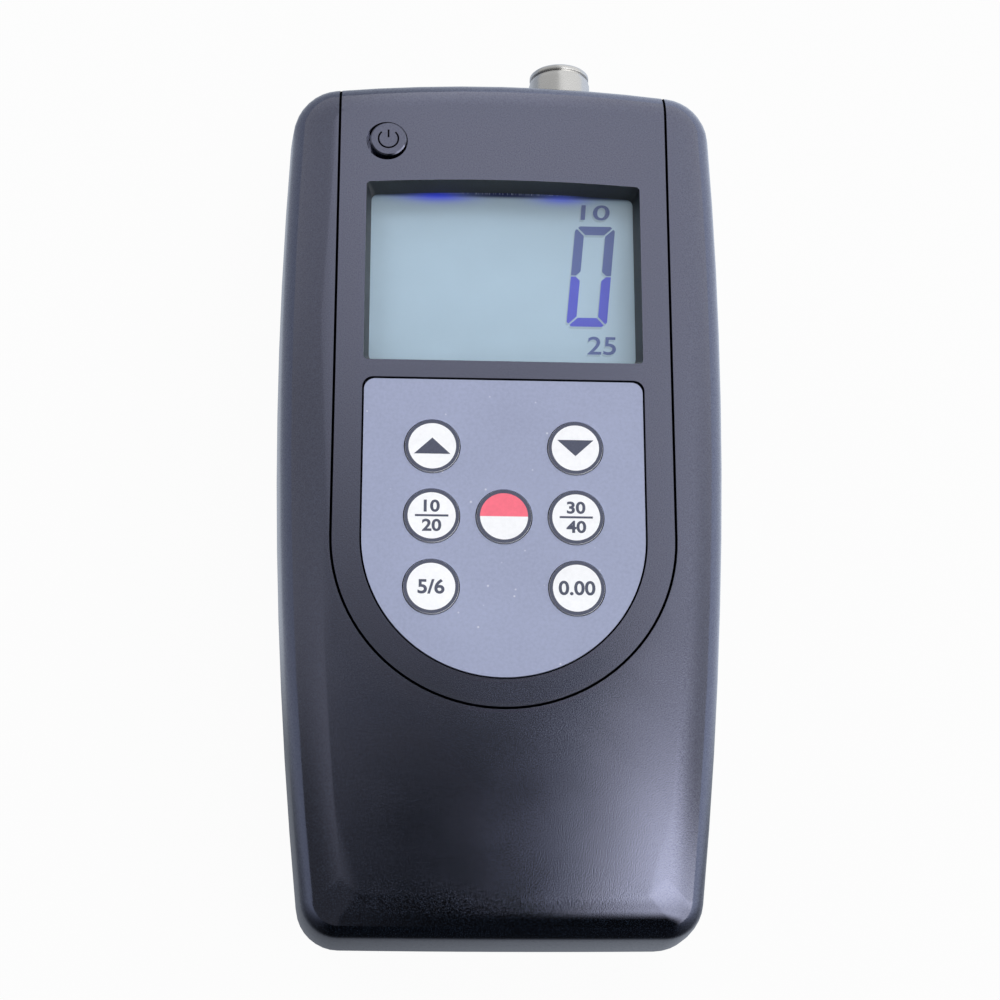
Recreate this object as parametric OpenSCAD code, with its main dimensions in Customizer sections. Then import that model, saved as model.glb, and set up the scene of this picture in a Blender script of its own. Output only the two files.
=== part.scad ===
// Hand-held coating thickness gauge lying on its back.
// +Z is the front face, +Y points to the probe socket, +X to the right key column.
// The origin is the middle of the back face.

/* [Housing] */
// Length of the housing without the probe socket
body_len = 136.5; // [132:0.5:142]
// Width of the housing beside the front panel, at its widest place
body_side = 9.7; // [8.8:0.1:12]
// Thickness of the housing, back to front
body_t = 32; // [31:0.5:36]
// Height of the joint between the two shells above the back
split_z = 11; // [10.5:0.5:12]
// Distance of the widest place below the top end
widest_drop = 44.5; // [38:0.5:58]
// Plan radius of the barrel sides
side_arc = 740; // [600:10:1200]
// Plan radius of the top end
top_arc = 240; // [200:5:500]
// Plan radius of the bottom end
bottom_arc = 2400; // [600:50:3000]
// Plan radius of the top corners at the joint
corner_top = 8.3; // [7.5:0.1:12]
// Plan radius of the bottom corners at the joint
corner_bottom = 6.4; // [6:0.1:12]
// Least plan radius of the corners along the edge rounding
corner_least = 3; // [1:0.1:4]
// Inward lean of the sides from the joint to the front rounding
side_lean = 1.1; // [0.8:0.1:2]
// Inward lean of the two ends from the joint to the front rounding
end_lean = 0.4; // [0.3:0.1:1.2]
// Height of the rounding along the front edge
front_round = 5.5; // [4.5:0.25:6]
// Inward lean of the rear shell's sides and ends
rear_lean = 1.2; // [0.6:0.1:1.6]
// Height of the rounding along the back edge
rear_round = 3; // [2.5:0.25:3.5]
// Wall thickness of the shells
wall = 2.4; // [2:0.1:2.8]

/* [Front panel] */
// Width of the panel beside the display
panel_side = 5.2; // [4.6:0.1:6]
// Distance of the centre of the panel's round end below the middle key row
panel_foot = 3.2; // [3:0.1:4]
// Thickness of the panel
panel_t = 4; // [3.8:0.1:4.2]
// Open seam around the panel
seam = 0.4; // [0.2:0.05:0.6]
// Width of the ledge that carries the panel
ledge = 2; // [1.5:0.1:2.4]

/* [Display] */
// Visible width of the display
view_w = 41; // [39:0.2:44]
// Visible height of the display
view_h = 28.4; // [26:0.2:29]
// Distance of the display's centre below the top end
view_drop = 34.2; // [33.8:0.1:35]
// Widening of the sunk frame from its floor to the front
view_draft = 1; // [0.4:0.05:1.1]
// Rise of the arched upper edge of the sunk frame
view_arch = 0.7; // [0.4:0.1:1.2]
// Corner radius at the floor of the sunk frame
view_corner = 1.2; // [0.8:0.1:2]
// Corner radius of the sunk frame at the front
view_edge_corner = 0.6; // [0.4:0.1:1.2]
// Thickness of the clear pane
pane_t = 0.8; // [0.6:0.1:1]
// Width of the pane's glued border
pane_rim = 1.4; // [1:0.1:1.6]
// Thickness of the liquid crystal glass
glass_t = 2.2; // [1.8:0.1:2.4]
// Thickness of the backlight block
light_t = 2.4; // [2:0.1:2.6]

/* [Keypad] */
// Width of the panel beside the overlay film
film_side = 4.4; // [3.8:0.1:5]
// Distance of the film's straight top edge below the display's visible area
film_below = 4.1; // [3.8:0.1:5]
// Distance of the upper key row below the film's straight top edge
film_head = 10.75; // [9.5:0.05:12]
// Open seam around the film
film_gap = 0.3; // [0.1:0.05:0.4]
// Thickness of the film
film_t = 0.6; // [0.4:0.1:0.8]
// Depth of the film's surface below the panel's front
film_sink = 0.1; // [0:0.05:0.2]
// Radius of the film's upper corners
film_corner = 1.7; // [1:0.1:2.5]
// Distance between key columns
key_dx = 10.85; // [10.2:0.05:11.2]
// Distance between key rows
key_dy = 10.95; // [10.2:0.05:11.2]
// Diameter of a key
key_d = 8.3; // [7.6:0.1:8.6]
// Height of a key above the panel's front
key_rise = 0.1; // [0:0.05:0.3]
// Thickness of a key's disc
key_t = 1.3; // [1:0.1:1.5]
// Diameter of a key's stem
key_stem_d = 3.8; // [3:0.1:4.2]
// Travel of a key
key_travel = 0.4; // [0.3:0.05:0.5]

/* [Power button] */
// Distance of the power button left of the centre line
power_x = 18.2; // [17.6:0.1:18.6]
// Distance of the power button below the top end
power_drop = 12.5; // [11.7:0.1:12.7]
// Diameter of the button's cap
power_d = 5.7; // [5:0.1:6]
// Diameter of the button's hole
power_hole_d = 6.55; // [6.4:0.05:7]
// Distance of the button right of its hole's centre
power_play_x = 0.2; // [0:0.05:0.25]
// Distance of the button above its hole's centre
power_play_y = 0.15; // [0:0.05:0.2]
// Height of the cap above the panel
power_rise = 0.5; // [0.3:0.1:0.8]
// Travel of the button
power_travel = 0.8; // [0.5:0.1:0.9]

/* [Probe socket] */
// Distance of the socket right of the centre line
socket_x = 10.2; // [8:0.1:12]
// Height of the socket's axis above the back
socket_z = 17; // [16.8:0.1:17.2]
// Outer diameter of the socket's collar
socket_d = 10.1; // [9.6:0.1:10.6]
// Reach of the collar beyond the housing's top end
socket_reach = 7.3; // [6:0.1:9]
// Bore of the socket
socket_bore = 7.4; // [7:0.1:7.6]
// Free depth of the socket's bore
socket_depth = 6.5; // [5:0.1:7]

/* [Power supply] */
// Diameter of a AAA cell
cell_d = 10.5; // [10.2:0.1:10.6]
// Length of a AAA cell without its button
cell_len = 43.7; // [43:0.1:44]
// Pitch of the cells across the bay
cell_pitch = 10.9; // [10.8:0.05:11]
// Thickness of the battery door
door_t = 2; // [1.8:0.1:2.2]
// Length of the battery door along the back
door_len = 57.5; // [57:0.5:59]

/* [Hidden] */
$fn = 64;

// Clearances
slide_gap = 0.15;
fit_gap = 0.1;
stem_gap = 0.4;
cut = 1;

// Number of segments along each stretch of the housing's outline
end_n = 4;
corner_n = 8;
side_n = 11;
round_n = 8;

// Heights
front_z = body_t;
top_y = body_len / 2;
bottom_y = -body_len / 2;
panel_w = view_w + 2 * panel_side;
body_w = panel_w + 2 * body_side;
widest_y = top_y - widest_drop;
view_y = top_y - view_drop;
film_top = view_y - view_h / 2 - film_below;
key_y = film_top - film_head - key_dy;
panel_y = key_y - panel_foot;
power_y = top_y - power_drop;
panel_z = front_z - panel_t;
film_z = front_z - film_sink - film_t;
pane_z = panel_z;
glass_z = panel_z - fit_gap - glass_t;
light_z = glass_z - light_t;
board_t = 1.6;
board_z = light_z - board_t;
dome_h = 0.5;

// Tongue
cheek = 1.1;
overrun = 10;
panel_r = panel_w / 2;
film_r = panel_r - film_side;
opening_r = panel_r + seam;

// Keys
key_r = key_d / 2;
key_gap = slide_gap;
key_rows = [key_y + key_dy, key_y, key_y - key_dy];
key_top = front_z + key_rise;
key_under = key_top - key_t;
key_pocket_z = key_under - key_travel - 0.3;
key_stem_z = light_z + dome_h + key_travel + 0.05;
key_places = [
    [-key_dx, key_rows[0]],
    [key_dx, key_rows[0]],
    [-key_dx, key_rows[1]],
    [0, key_rows[1]],
    [key_dx, key_rows[1]],
    [-key_dx, key_rows[2]],
    [key_dx, key_rows[2]]
];

// Power button
power_gap = 0.4;
power_r = power_d / 2;
power_stem_d = 3;
power_bevel = 0.2;
sign_r = 1.56;
sign_stroke = 0.28;
sign_depth = 0.3;
sign_open = 86;
bar_low = 0.2;
bar_len = 1.35;
power_flange_r = power_r + 0.75;
power_flange_t = 0.8;
power_step_z = panel_z + 1.1;
power_flange_z = power_step_z - 0.2 - power_flange_t;
power_stem_z = power_flange_z - 0.6;
switch_side = 6;
switch_top = power_stem_z - power_travel - 0.05;

// Screws
case_inset = 7.5;
case_top_drop = 14;
case_low_rise = 65;
case_screw_x = body_w / 2 - case_inset;
case_screw_y = [top_y - case_top_drop, bottom_y + case_low_rise];
case_screw_d = 2.6;
case_head_d = 5;
case_head_t = 2;
case_seat_z = 5.5;
case_screw_grip = 9.5;
case_screw_len = split_z - case_seat_z + case_screw_grip;
boss_d = 6.6;
glass_w = view_w + 1.6;
glass_h = view_h + 3;
strip_w = 1.4;
bezel_rim = 1.1;
bezel_w = glass_w + 2 * bezel_rim;
bezel_h = glass_h + 2 * bezel_rim;
board_w = bezel_w + 1.2;
post_room = 8;
board_screw_top_x = power_x - post_room;
board_screw_top_y = view_y + bezel_h / 2 + 2.6;
board_screw_low_x = key_dx + 5.15;
board_screw_low_y = key_rows[2] - 3.5;
board_screw_d = 1.8;
board_head_d = 3.6;
board_head_t = 1.2;
post_d = 4.2;
board_places = [
    [-board_screw_top_x, board_screw_top_y],
    [board_screw_top_x, board_screw_top_y],
    [-board_screw_low_x, board_screw_low_y],
    [board_screw_low_x, board_screw_low_y]
];

// Board
board_top_y = power_y + switch_side / 2 + 0.5;
board_low_y = board_screw_low_y - 7;

// Probe socket
socket_r = socket_d / 2;
socket_end_y = top_y + socket_reach;
socket_seat_y = top_y - 1.4;
socket_wall_t = 2.6;
socket_wall_y = socket_seat_y - socket_wall_t;
thread_r = socket_r - 0.5;
nut_t = 2.4;
nut_flats = 11.4;
nut_room = nut_flats + 3;
thread_end_y = socket_wall_y - nut_t - 0.8;
insert_top_y = socket_end_y - socket_depth;
insert_low_y = thread_end_y - 1.2;
insert_r = socket_bore / 2 - 0.4;
insert_gap = 0.02;
contact_n = 4;
contact_ring_r = 2;
contact_d = 1;

// Battery bay
bay_half_w = 2 * cell_pitch + 0.2;
bay_wall = 1.5;
spring_room = 5.5;
plate_t = 0.4;
plate_side = 8;
coil_wide_r = 3;
coil_narrow_r = 2;
wire_d = 0.8;
button_h = 0.8;
bay_low_y = bottom_y + wall + 1.8 + bay_wall;
bay_top_y = bay_low_y + plate_t + cell_len + button_h + spring_room;
cell_z = door_t + 0.3 + cell_d / 2;
bay_ceiling_z = cell_z + cell_d / 2 + 0.3;
door_half_w = bay_half_w + 0.4;
door_rail = 1.2;
door_rail_t = 0.9;
door_gap = 0.2;
door_top_y = bottom_y + door_len;
grip_w = 18;
grip_rib = 1.1;
grip_depth = 0.6;
grip_pitch = 2.2;
grip_start = 9;
grip_y = bottom_y + grip_start;

// One crossing of two circles; turn picks the left (1) or the right (-1) one
function circle_cross(c1, r1, c2, r2, turn) =
    let (d = norm(c2 - c1))
    let (u = (c2 - c1) / d)
    let (a = (r1 * r1 - r2 * r2 + d * d) / (2 * d))
    let (h = sqrt(r1 * r1 - a * a))
    c1 + a * u + turn * h * [-u[1], u[0]];

function heading(v) = atan2(v[1], v[0]);

// Points along an arc, without its last point
function arc_points(c, r, a0, a1, n) =
    [for (i = [0 : n - 1]) let (a = a0 + (a1 - a0) * i / n) c + r * [cos(a), sin(a)]];

// Right half of the housing's outline, from the bottom end to the top end.
// The sides are drawn in by side_in and the ends by end_in.
function half_loop(side_in, end_in) =
    let (draw_in = (side_in + end_in) / 2)
    let (r_top = max(corner_least, corner_top - draw_in))
    let (r_low = max(corner_least, corner_bottom - draw_in))
    let (c_side = [body_w / 2 - side_arc, widest_y])
    let (c_top = [0, top_y - top_arc])
    let (c_low = [0, bottom_y + bottom_arc])
    let (r_s = side_arc - side_in)
    let (r_t = top_arc - end_in)
    let (r_b = bottom_arc - end_in)
    let (k_top = circle_cross(c_side, r_s - r_top, c_top, r_t - r_top, 1))
    let (k_low = circle_cross(c_side, r_s - r_low, c_low, r_b - r_low, -1))
    let (a_low = heading(k_low - c_low))
    let (a_side_low = heading(k_low - c_side))
    let (a_side_top = heading(k_top - c_side))
    let (a_top = heading(k_top - c_top))
    concat(
        arc_points(c_low, r_b, -90, a_low, end_n),
        arc_points(k_low, r_low, a_low, a_side_low, corner_n),
        arc_points(c_side, r_s, a_side_low, a_side_top, side_n),
        arc_points(k_top, r_top, a_side_top, a_top, corner_n),
        arc_points(c_top, r_t, a_top, 90, end_n),
        [[0, top_y - end_in]]
    );

// Whole outline, counter-clockwise
function loop(side_in, end_in) =
    let (half = half_loop(side_in, end_in))
    concat(half, [for (i = [len(half) - 2 : -1 : 1]) [-half[i][0], half[i][1]]]);

// How far the wall is drawn in at a height above the joint: a bowed flank, then the edge rounding
function drawn_in(h, lean, flank, rounding) =
    let (t0 = atan(2 * lean / flank))
    let (r = rounding / (1 - sin(t0)))
    let (s = min(1, sin(t0) + (h - flank) / r))
    h <= flank ? lean * pow(h / flank, 2) : lean + r * (cos(t0) - sqrt(1 - s * s));

// Half of the housing as a loft that rises from z = 0
module half_housing(height, lean_side, lean_end, rounding) {
    flank = height - rounding;
    heights = concat(
        [for (q = [0, 0.35, 0.65, 0.85]) q * flank],
        [flank],
        [for (i = [1 : round_n]) flank + rounding * sin(90 * i / round_n)]
    );
    rings = [for (h = heights) loop(drawn_in(h, lean_side, flank, rounding),
                                    drawn_in(h, lean_end, flank, rounding))];
    n = len(rings[0]);
    m = len(heights);
    points = [for (k = [0 : m - 1]) for (p = rings[k]) [p[0], p[1], heights[k]]];
    sides = [for (k = [0 : m - 2]) for (i = [0 : n - 1]) for (half = [0, 1])
        let (j = (i + 1) % n)
        half == 0 ? [k * n + i, (k + 1) * n + i, (k + 1) * n + j]
                  : [k * n + i, (k + 1) * n + j, k * n + j]];
    floor_face = [for (i = [0 : n - 1]) i];
    top_face = [for (i = [n - 1 : -1 : 0]) (m - 1) * n + i];
    polyhedron(points, concat([floor_face], sides, [top_face]));
}

module front_form() {
    translate([0, 0, split_z])
        half_housing(front_z - split_z, side_lean, end_lean, front_round);
}

module rear_form() {
    translate([0, 0, split_z])
        mirror([0, 0, 1])
            half_housing(split_z, rear_lean, rear_lean, rear_round);
}

// Upright block between two heights, with the housing's outline drawn in by inset
module plan_block(inset, z0, z1) {
    translate([0, 0, z0])
        linear_extrude(z1 - z0)
            polygon(loop(inset, inset));
}

// Upright block with a round lower end and straight sides up to y_end
module tongue(r, y_end, z0, z1) {
    translate([0, panel_y, z0])
        cylinder(r = r, h = z1 - z0);
    translate([-r, panel_y, z0])
        cube([2 * r, y_end - panel_y, z1 - z0]);
}

module post(p, d, z0, z1) {
    translate([p[0], p[1], z0])
        cylinder(d = d, h = z1 - z0);
}

module case_screw_spots() {
    for (sx = [-1, 1])
        for (y = case_screw_y)
            translate([sx * case_screw_x, y, 0])
                children();
}

// Cylinder along +Y that starts at y0
module along_y(r, y0, y1) {
    translate([socket_x, y0, socket_z])
        rotate([-90, 0, 0])
            cylinder(r = r, h = y1 - y0);
}

// Upper half of the housing with the tongue-shaped opening
module front_shell() {
    inner_top = panel_z - 1.6;
    color([0.13, 0.13, 0.15])
    difference() {
        front_form();
        difference() {
            union() {
                plan_block(wall + 1, split_z - cut, board_z);
                plan_block(wall + side_lean + cheek, board_z - cut, front_z - wall);
            }
            difference() {
                tongue(opening_r + wall, top_y + cut, inner_top, front_z + cut);
                tongue(panel_r - ledge, top_y - 2 * wall, inner_top - cut, front_z + 2 * cut);
            }
            case_screw_spots()
                translate([0, 0, split_z - 2 * cut])
                    cylinder(d = boss_d, h = front_z - split_z + 2 * cut);
        }
        tongue(opening_r, top_y + overrun, panel_z, front_z + cut);
        case_screw_spots()
            translate([0, 0, split_z - cut])
                cylinder(d = case_screw_d + fit_gap, h = case_screw_grip + 1 + cut);
        along_y(thread_r + fit_gap, socket_wall_y - cut, top_y + cut);
        along_y(socket_r + 0.25, socket_seat_y, top_y + cut);
        translate([socket_x - nut_room / 2, socket_wall_y - nut_room / 2, split_z - cut])
            cube([nut_room, nut_room / 2, panel_z - 2 - split_z + cut]);
    }
}

// Lower half of the housing with the battery bay
module rear_shell() {
    color([0.12, 0.12, 0.14])
    difference() {
        union() {
            difference() {
                rear_form();
                difference() {
                    plan_block(wall + rear_lean + 1, wall, split_z + cut);
                    case_screw_spots()
                        cylinder(d = boss_d, h = split_z + 2 * cut);
                }
            }
            translate([-bay_half_w - bay_wall, bay_low_y - bay_wall, door_t / 2])
                cube([2 * (bay_half_w + bay_wall), bay_top_y - bay_low_y + 2 * bay_wall,
                      bay_ceiling_z + bay_wall - door_t / 2]);
        }
        translate([-bay_half_w, bay_low_y, -cut])
            cube([2 * bay_half_w, bay_top_y - bay_low_y, bay_ceiling_z + cut]);
        door_space(door_gap, bottom_y - 5);
        case_screw_spots() {
            translate([0, 0, -cut])
                cylinder(d = case_head_d + 0.6, h = case_seat_z + cut);
            cylinder(d = case_screw_d + 0.4, h = split_z + cut);
        }
    }
}

// Space of the battery door and its side rails, widened by gap
module door_space(gap, y0) {
    y1 = door_top_y + gap;
    translate([-door_half_w - gap, y0, -cut])
        cube([2 * (door_half_w + gap), y1 - y0, door_t + gap + cut]);
    translate([-door_half_w - door_rail - gap, y0, door_t - door_rail_t - gap])
        cube([2 * (door_half_w + door_rail + gap), y1 - y0, door_rail_t + 2 * gap]);
}

// Battery door with its side rails and a ribbed thumb grip
module battery_door() {
    rib_n = 5;
    color([0.12, 0.12, 0.14])
    difference() {
        intersection() {
            rear_form();
            door_space(0, bottom_y - cut);
        }
        for (i = [0 : rib_n - 1])
            translate([-grip_w / 2, grip_y + i * grip_pitch, -cut])
                cube([grip_w, grip_rib, cut + grip_depth]);
    }
}

// Tongue-shaped insert: sunk display frame, film pocket, key and button holes
module front_panel() {
    floor_z = panel_z + pane_t;
    color([0.24, 0.24, 0.28])
    difference() {
        union() {
            intersection() {
                front_form();
                tongue(panel_r, top_y + cut, panel_z, front_z + cut);
            }
            for (p = board_places)
                post(p, post_d, light_z, panel_z + cut);
        }
        hull() {
            view_block(0, view_corner, floor_z - cut, floor_z);
            view_block(view_draft, view_edge_corner, front_z, front_z + cut);
        }
        translate([0, view_y, panel_z - cut])
            linear_extrude(pane_t + cut)
                square([view_w + 2 * pane_rim + 2 * fit_gap, view_h + 2 * pane_rim + 2 * fit_gap],
                       center = true);
        film_block(film_r + film_gap, film_top + film_gap, film_z, front_z + cut);
        for (p = key_places) {
            post(p, key_d + 2 * key_gap, key_pocket_z, front_z + cut);
            post(p, key_stem_d + 2 * stem_gap, panel_z - cut, front_z);
        }
        translate([-power_x - power_play_x, power_y - power_play_y, 0]) {
            translate([0, 0, panel_z - cut])
                cylinder(r = power_flange_r + power_gap, h = power_step_z - panel_z + cut);
            translate([0, 0, panel_z])
                cylinder(d = power_hole_d, h = panel_t + cut);
        }
        for (p = board_places)
            post(p, board_screw_d + fit_gap, light_z - cut, panel_z + 1.2);
    }
}

// Block of the display's visible area, widened by grow, with corners of radius r and an arched
// upper edge
module view_block(grow, r, z0, z1) {
    half_w = view_w / 2 + grow;
    half_h = view_h / 2 + grow;
    cx = half_w - r;
    low = -half_h + r;
    high = half_h - view_arch - r;
    steps = 4;
    arch = [for (i = [-steps : steps]) let (q = -i / steps) [q * cx, half_h - view_arch * q * q]];
    translate([0, view_y, z0])
        linear_extrude(z1 - z0)
            polygon(concat(
                arc_points([-cx, low], r, 180, 270, steps),
                [[-cx, -half_h]],
                arc_points([cx, low], r, 270, 360, steps),
                [[half_w, low]],
                arc_points([cx, high], r, 0, 90, steps),
                arch,
                [for (i = [1 : steps]) let (a = 90 + 90 * i / steps)
                    [-cx + r * cos(a), high + r * sin(a)]]
            ));
}

// Block of the film's outline: round lower end and small upper corners
module film_block(r, y_end, z0, z1) {
    translate([0, panel_y, z0])
        cylinder(r = r, h = z1 - z0);
    translate([-r, panel_y, z0])
        cube([2 * r, y_end - panel_y - film_corner, z1 - z0]);
    translate([-r + film_corner, panel_y, z0])
        cube([2 * (r - film_corner), y_end - panel_y, z1 - z0]);
    for (sx = [-1, 1])
        post([sx * (r - film_corner), y_end - film_corner], 2 * film_corner, z0, z1);
}

// Printed film with a round window over each key
module keypad_overlay() {
    color([0.62, 0.64, 0.74])
    difference() {
        film_block(film_r, film_top, film_z, film_z + film_t);
        for (p = key_places)
            post(p, key_d + 2 * key_gap, film_z - cut, front_z);
    }
}

// Key disc with the stem that pushes its dome
module key(p, colour) {
    color(colour) {
        post(p, key_d, key_under, key_top);
        post(p, key_stem_d, key_stem_z, key_under + fit_gap);
    }
}

module key_up() { key(key_places[0], [0.93, 0.93, 0.96]); }
module key_down() { key(key_places[1], [0.93, 0.93, 0.96]); }
module key_units() { key(key_places[2], [0.93, 0.93, 0.96]); }
module key_calibrate() { key(key_places[3], [0.9, 0.3, 0.38]); }
module key_metal() { key(key_places[4], [0.93, 0.93, 0.96]); }
module key_mode() { key(key_places[5], [0.93, 0.93, 0.96]); }
module key_zero() { key(key_places[6], [0.93, 0.93, 0.96]); }

// Push button with an engraved on and off sign
module power_button() {
    top_z = front_z + power_rise;
    color([0.2, 0.2, 0.23])
    translate([-power_x, power_y, 0])
    difference() {
        union() {
            translate([0, 0, power_flange_z])
                cylinder(r = power_flange_r, h = power_flange_t);
            translate([0, 0, power_stem_z])
                cylinder(d = power_stem_d, h = top_z - 1 - power_stem_z);
            translate([0, 0, power_flange_z])
                rotate_extrude()
                    polygon([[0, 0], [power_r, 0], [power_r, top_z - power_flange_z - power_bevel],
                             [power_r - power_bevel, top_z - power_flange_z],
                             [0, top_z - power_flange_z]]);
        }
        translate([0, 0, top_z - sign_depth])
            rotate([0, 0, 90 + sign_open / 2])
                rotate_extrude(angle = 360 - sign_open)
                    translate([sign_r - sign_stroke / 2, 0])
                        square([sign_stroke, sign_depth + cut]);
        translate([-sign_stroke / 2, bar_low, top_z - sign_depth])
            cube([sign_stroke, bar_len, sign_depth + cut]);
    }
}

// Clear pane glued behind the sunk frame
module display_window() {
    color([0.8, 0.88, 0.92, 0.35])
    translate([0, view_y, pane_z])
        linear_extrude(pane_t)
            square([view_w + 2 * pane_rim, view_h + 2 * pane_rim], center = true);
}

// Liquid crystal glass
module display_glass() {
    color([0.66, 0.75, 0.82])
    translate([0, view_y, glass_z])
        linear_extrude(glass_t)
            square([glass_w, glass_h], center = true);
}

// Frame that holds the glass on the board
module display_bezel() {
    color([0.16, 0.16, 0.18])
    translate([0, view_y, light_z])
        linear_extrude(light_t + glass_t)
            difference() {
                square([bezel_w, bezel_h], center = true);
                square([glass_w + 2 * fit_gap, glass_h + 2 * fit_gap], center = true);
            }
}

// Light guide behind the glass
module backlight() {
    color([0.92, 0.94, 0.96])
    translate([0, view_y, light_z])
        linear_extrude(light_t)
            square([glass_w, glass_h - 2 * strip_w - 0.6], center = true);
}

// Elastomer strips that join the glass to the board
module contact_strips() {
    color([0.75, 0.45, 0.5])
    for (sy = [-1, 1])
        translate([0, view_y + sy * (glass_h - strip_w) / 2, light_z + light_t / 2])
            cube([view_w, strip_w, light_t], center = true);
}

// Circuit board behind the panel
module main_board() {
    color([0.1, 0.38, 0.2])
    difference() {
        translate([-board_w / 2, board_low_y, board_z])
            cube([board_w, board_top_y - board_low_y, board_t]);
        for (p = board_places)
            post(p, board_screw_d + stem_gap, board_z - cut, light_z + cut);
    }
}

// Snap domes, one under each key
module key_domes() {
    dome_r = 3;
    ball_r = (dome_r * dome_r + dome_h * dome_h) / (2 * dome_h);
    rim_a = asin(dome_r / ball_r);
    steps = 5;
    profile = [for (i = [0 : steps]) let (a = rim_a * i / steps)
        [ball_r * sin(a), dome_h - ball_r * (1 - cos(a))]];
    color([0.8, 0.78, 0.7])
    for (p = key_places)
        translate([p[0], p[1], light_z])
            rotate_extrude()
                polygon(concat([[0, 0]], profile));
}

// Tact switch under the power button
module power_switch() {
    switch_h = switch_top - light_z;
    color([0.15, 0.15, 0.16])
    translate([-power_x, power_y, light_z]) {
        translate([-switch_side / 2, -switch_side / 2, 0])
            cube([switch_side, switch_side, switch_h - 0.5]);
        cylinder(d = 3.2, h = switch_h);
    }
}

// Metal socket: collar with a grooved rim outside, threaded neck through the end wall
module socket_shell() {
    bevel = 0.35;
    rim = 0.95;
    groove_w = 0.5;
    groove = 0.45;
    lip = 0.5;
    lip_step = 0.12;
    groove_y = socket_end_y - rim - groove_w;
    color([0.74, 0.74, 0.72])
    translate([socket_x, 0, socket_z])
        rotate([-90, 0, 0])
            rotate_extrude()
                polygon([
                    [insert_r + insert_gap, thread_end_y],
                    [thread_r, thread_end_y],
                    [thread_r, socket_seat_y],
                    [socket_r, socket_seat_y],
                    [socket_r, groove_y - lip],
                    [socket_r - lip_step, groove_y - lip],
                    [socket_r - lip_step, groove_y],
                    [socket_r - groove, groove_y],
                    [socket_r - groove, groove_y + groove_w],
                    [socket_r - lip_step, groove_y + groove_w],
                    [socket_r - lip_step, socket_end_y - bevel],
                    [socket_r - lip_step - bevel, socket_end_y],
                    [socket_bore / 2, socket_end_y],
                    [socket_bore / 2, insert_top_y],
                    [insert_r + insert_gap, insert_top_y]
                ]);
}

// Insulating insert at the foot of the socket's bore
module socket_insert() {
    color([0.1, 0.1, 0.11])
    difference() {
        along_y(insert_r, insert_low_y, insert_top_y);
        contact_spots(insert_low_y - cut, insert_top_y + cut, contact_d / 2 + insert_gap);
    }
}

module contact_spots(y0, y1, r) {
    for (i = [0 : contact_n - 1])
        translate([contact_ring_r * cos(45 + 90 * i), 0, contact_ring_r * sin(45 + 90 * i)])
            along_y(r, y0, y1);
}

// Contact sleeves that end below the insert's face
module socket_contacts() {
    color([0.85, 0.68, 0.3])
    difference() {
        contact_spots(insert_low_y - 2, insert_top_y - 0.3, contact_d / 2);
        contact_spots(insert_top_y - 3.5, insert_top_y + cut, contact_d / 2 - 0.2);
    }
}

// Hexagon nut behind the end wall
module socket_nut() {
    color([0.7, 0.7, 0.68])
    difference() {
        translate([socket_x, socket_wall_y - nut_t, socket_z])
            rotate([-90, 0, 0])
                cylinder(d = nut_flats / cos(30), h = nut_t, $fn = 6);
        along_y(thread_r + insert_gap, socket_wall_y - nut_t - cut, socket_wall_y + cut);
    }
}

// One AAA cell; flip turns its button end to the bottom
module cell(i, flip) {
    y0 = flip ? bay_low_y + plate_t + button_h : bay_low_y + spring_room;
    x = (i - 1.5) * cell_pitch;
    color([0.25, 0.4, 0.6])
    translate([x, y0, cell_z])
        rotate([-90, 0, 0]) {
            cylinder(d = cell_d, h = cell_len);
            translate([0, 0, flip ? -button_h : cell_len])
                cylinder(d = 3.8, h = button_h);
        }
}

module cell_1() { cell(0, false); }
module cell_2() { cell(1, true); }
module cell_3() { cell(2, false); }
module cell_4() { cell(3, true); }

// Round wire wound along +Z from z = 0, narrowing from r0 to r1
module coil(r0, r1, wire_d, height, turns) {
    sides = 6;
    rings = 12 * turns;
    points = [for (k = [0 : rings]) for (i = [0 : sides - 1])
        let (a = 360 * turns * k / rings)
        let (t = 360 * i / sides)
        let (r = r0 + (r1 - r0) * k / rings + wire_d / 2 * cos(t))
        [r * cos(a), r * sin(a), wire_d / 2 * (1 + sin(t)) + (height - wire_d) * k / rings]];
    skin = [for (k = [0 : rings - 1]) for (i = [0 : sides - 1]) for (half = [0, 1])
        let (j = (i + 1) % sides)
        half == 0 ? [k * sides + i, k * sides + j, (k + 1) * sides + j]
                  : [k * sides + i, (k + 1) * sides + j, (k + 1) * sides + i]];
    first = [for (i = [sides - 1 : -1 : 0]) i];
    last = [for (i = [0 : sides - 1]) rings * sides + i];
    polyhedron(points, concat([first], skin, [last]));
}

// Coil springs on their backing plates, at the flat end of each cell
module spring_contacts() {
    sink = wire_d / 8;
    color([0.78, 0.78, 0.76])
    for (i = [0 : 3])
        translate([(i - 1.5) * cell_pitch, i % 2 == 0 ? bay_low_y : bay_top_y, cell_z])
            rotate([i % 2 == 0 ? -90 : 90, 0, 0]) {
                translate([-plate_side / 2, -plate_side / 2, 0])
                    cube([plate_side, plate_side, plate_t]);
                translate([0, 0, plate_t - sink])
                    coil(coil_wide_r, coil_narrow_r, wire_d, spring_room - plate_t + sink, 4);
            }
}

// Plate contacts at the button end of each cell
module plate_contacts() {
    color([0.8, 0.79, 0.74])
    for (i = [0 : 3])
        translate([(i - 1.5) * cell_pitch - plate_side / 2,
                   i % 2 == 0 ? bay_top_y - plate_t : bay_low_y,
                   cell_z - plate_side / 2])
            cube([plate_side, plate_t, plate_side]);
}

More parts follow.
